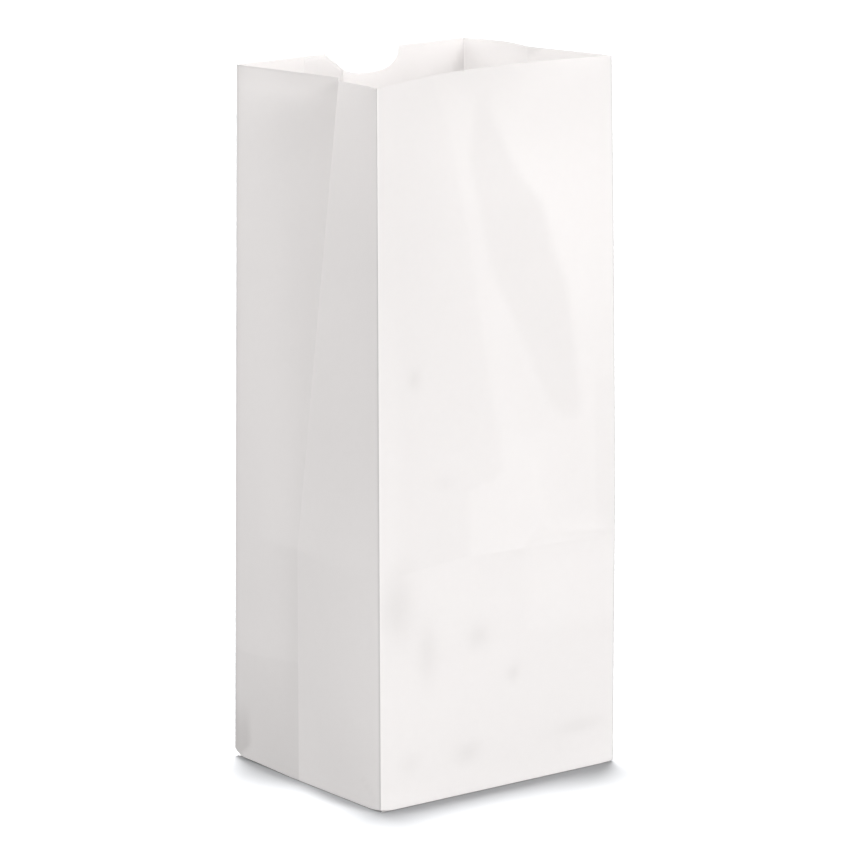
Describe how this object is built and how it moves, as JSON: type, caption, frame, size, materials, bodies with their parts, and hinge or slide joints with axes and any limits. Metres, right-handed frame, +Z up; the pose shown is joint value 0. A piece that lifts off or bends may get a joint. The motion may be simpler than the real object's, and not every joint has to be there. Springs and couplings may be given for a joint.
{
  "type": "paper grocery bag",
  "caption": "Plain white paper grocery bag standing open, with gusseted sides, a flat folded base and a thumb cut in the back rim.",
  "frame": {"origin": "on the floor, under the middle of the base", "axes": "+Z up, out of the mouth; -Y out of the plain front panel; +Y out of the back panel with the thumb cut; -X and +X out of the gusseted sides"},
  "size_m": [0.1452, 0.1199, 0.343],
  "materials": {
    "paper": "matt machine-made white paper with a faint fibre grain"
  },
  "bodies": {
    "root": {"bag": "paper"}
  },
  "joints": []
}
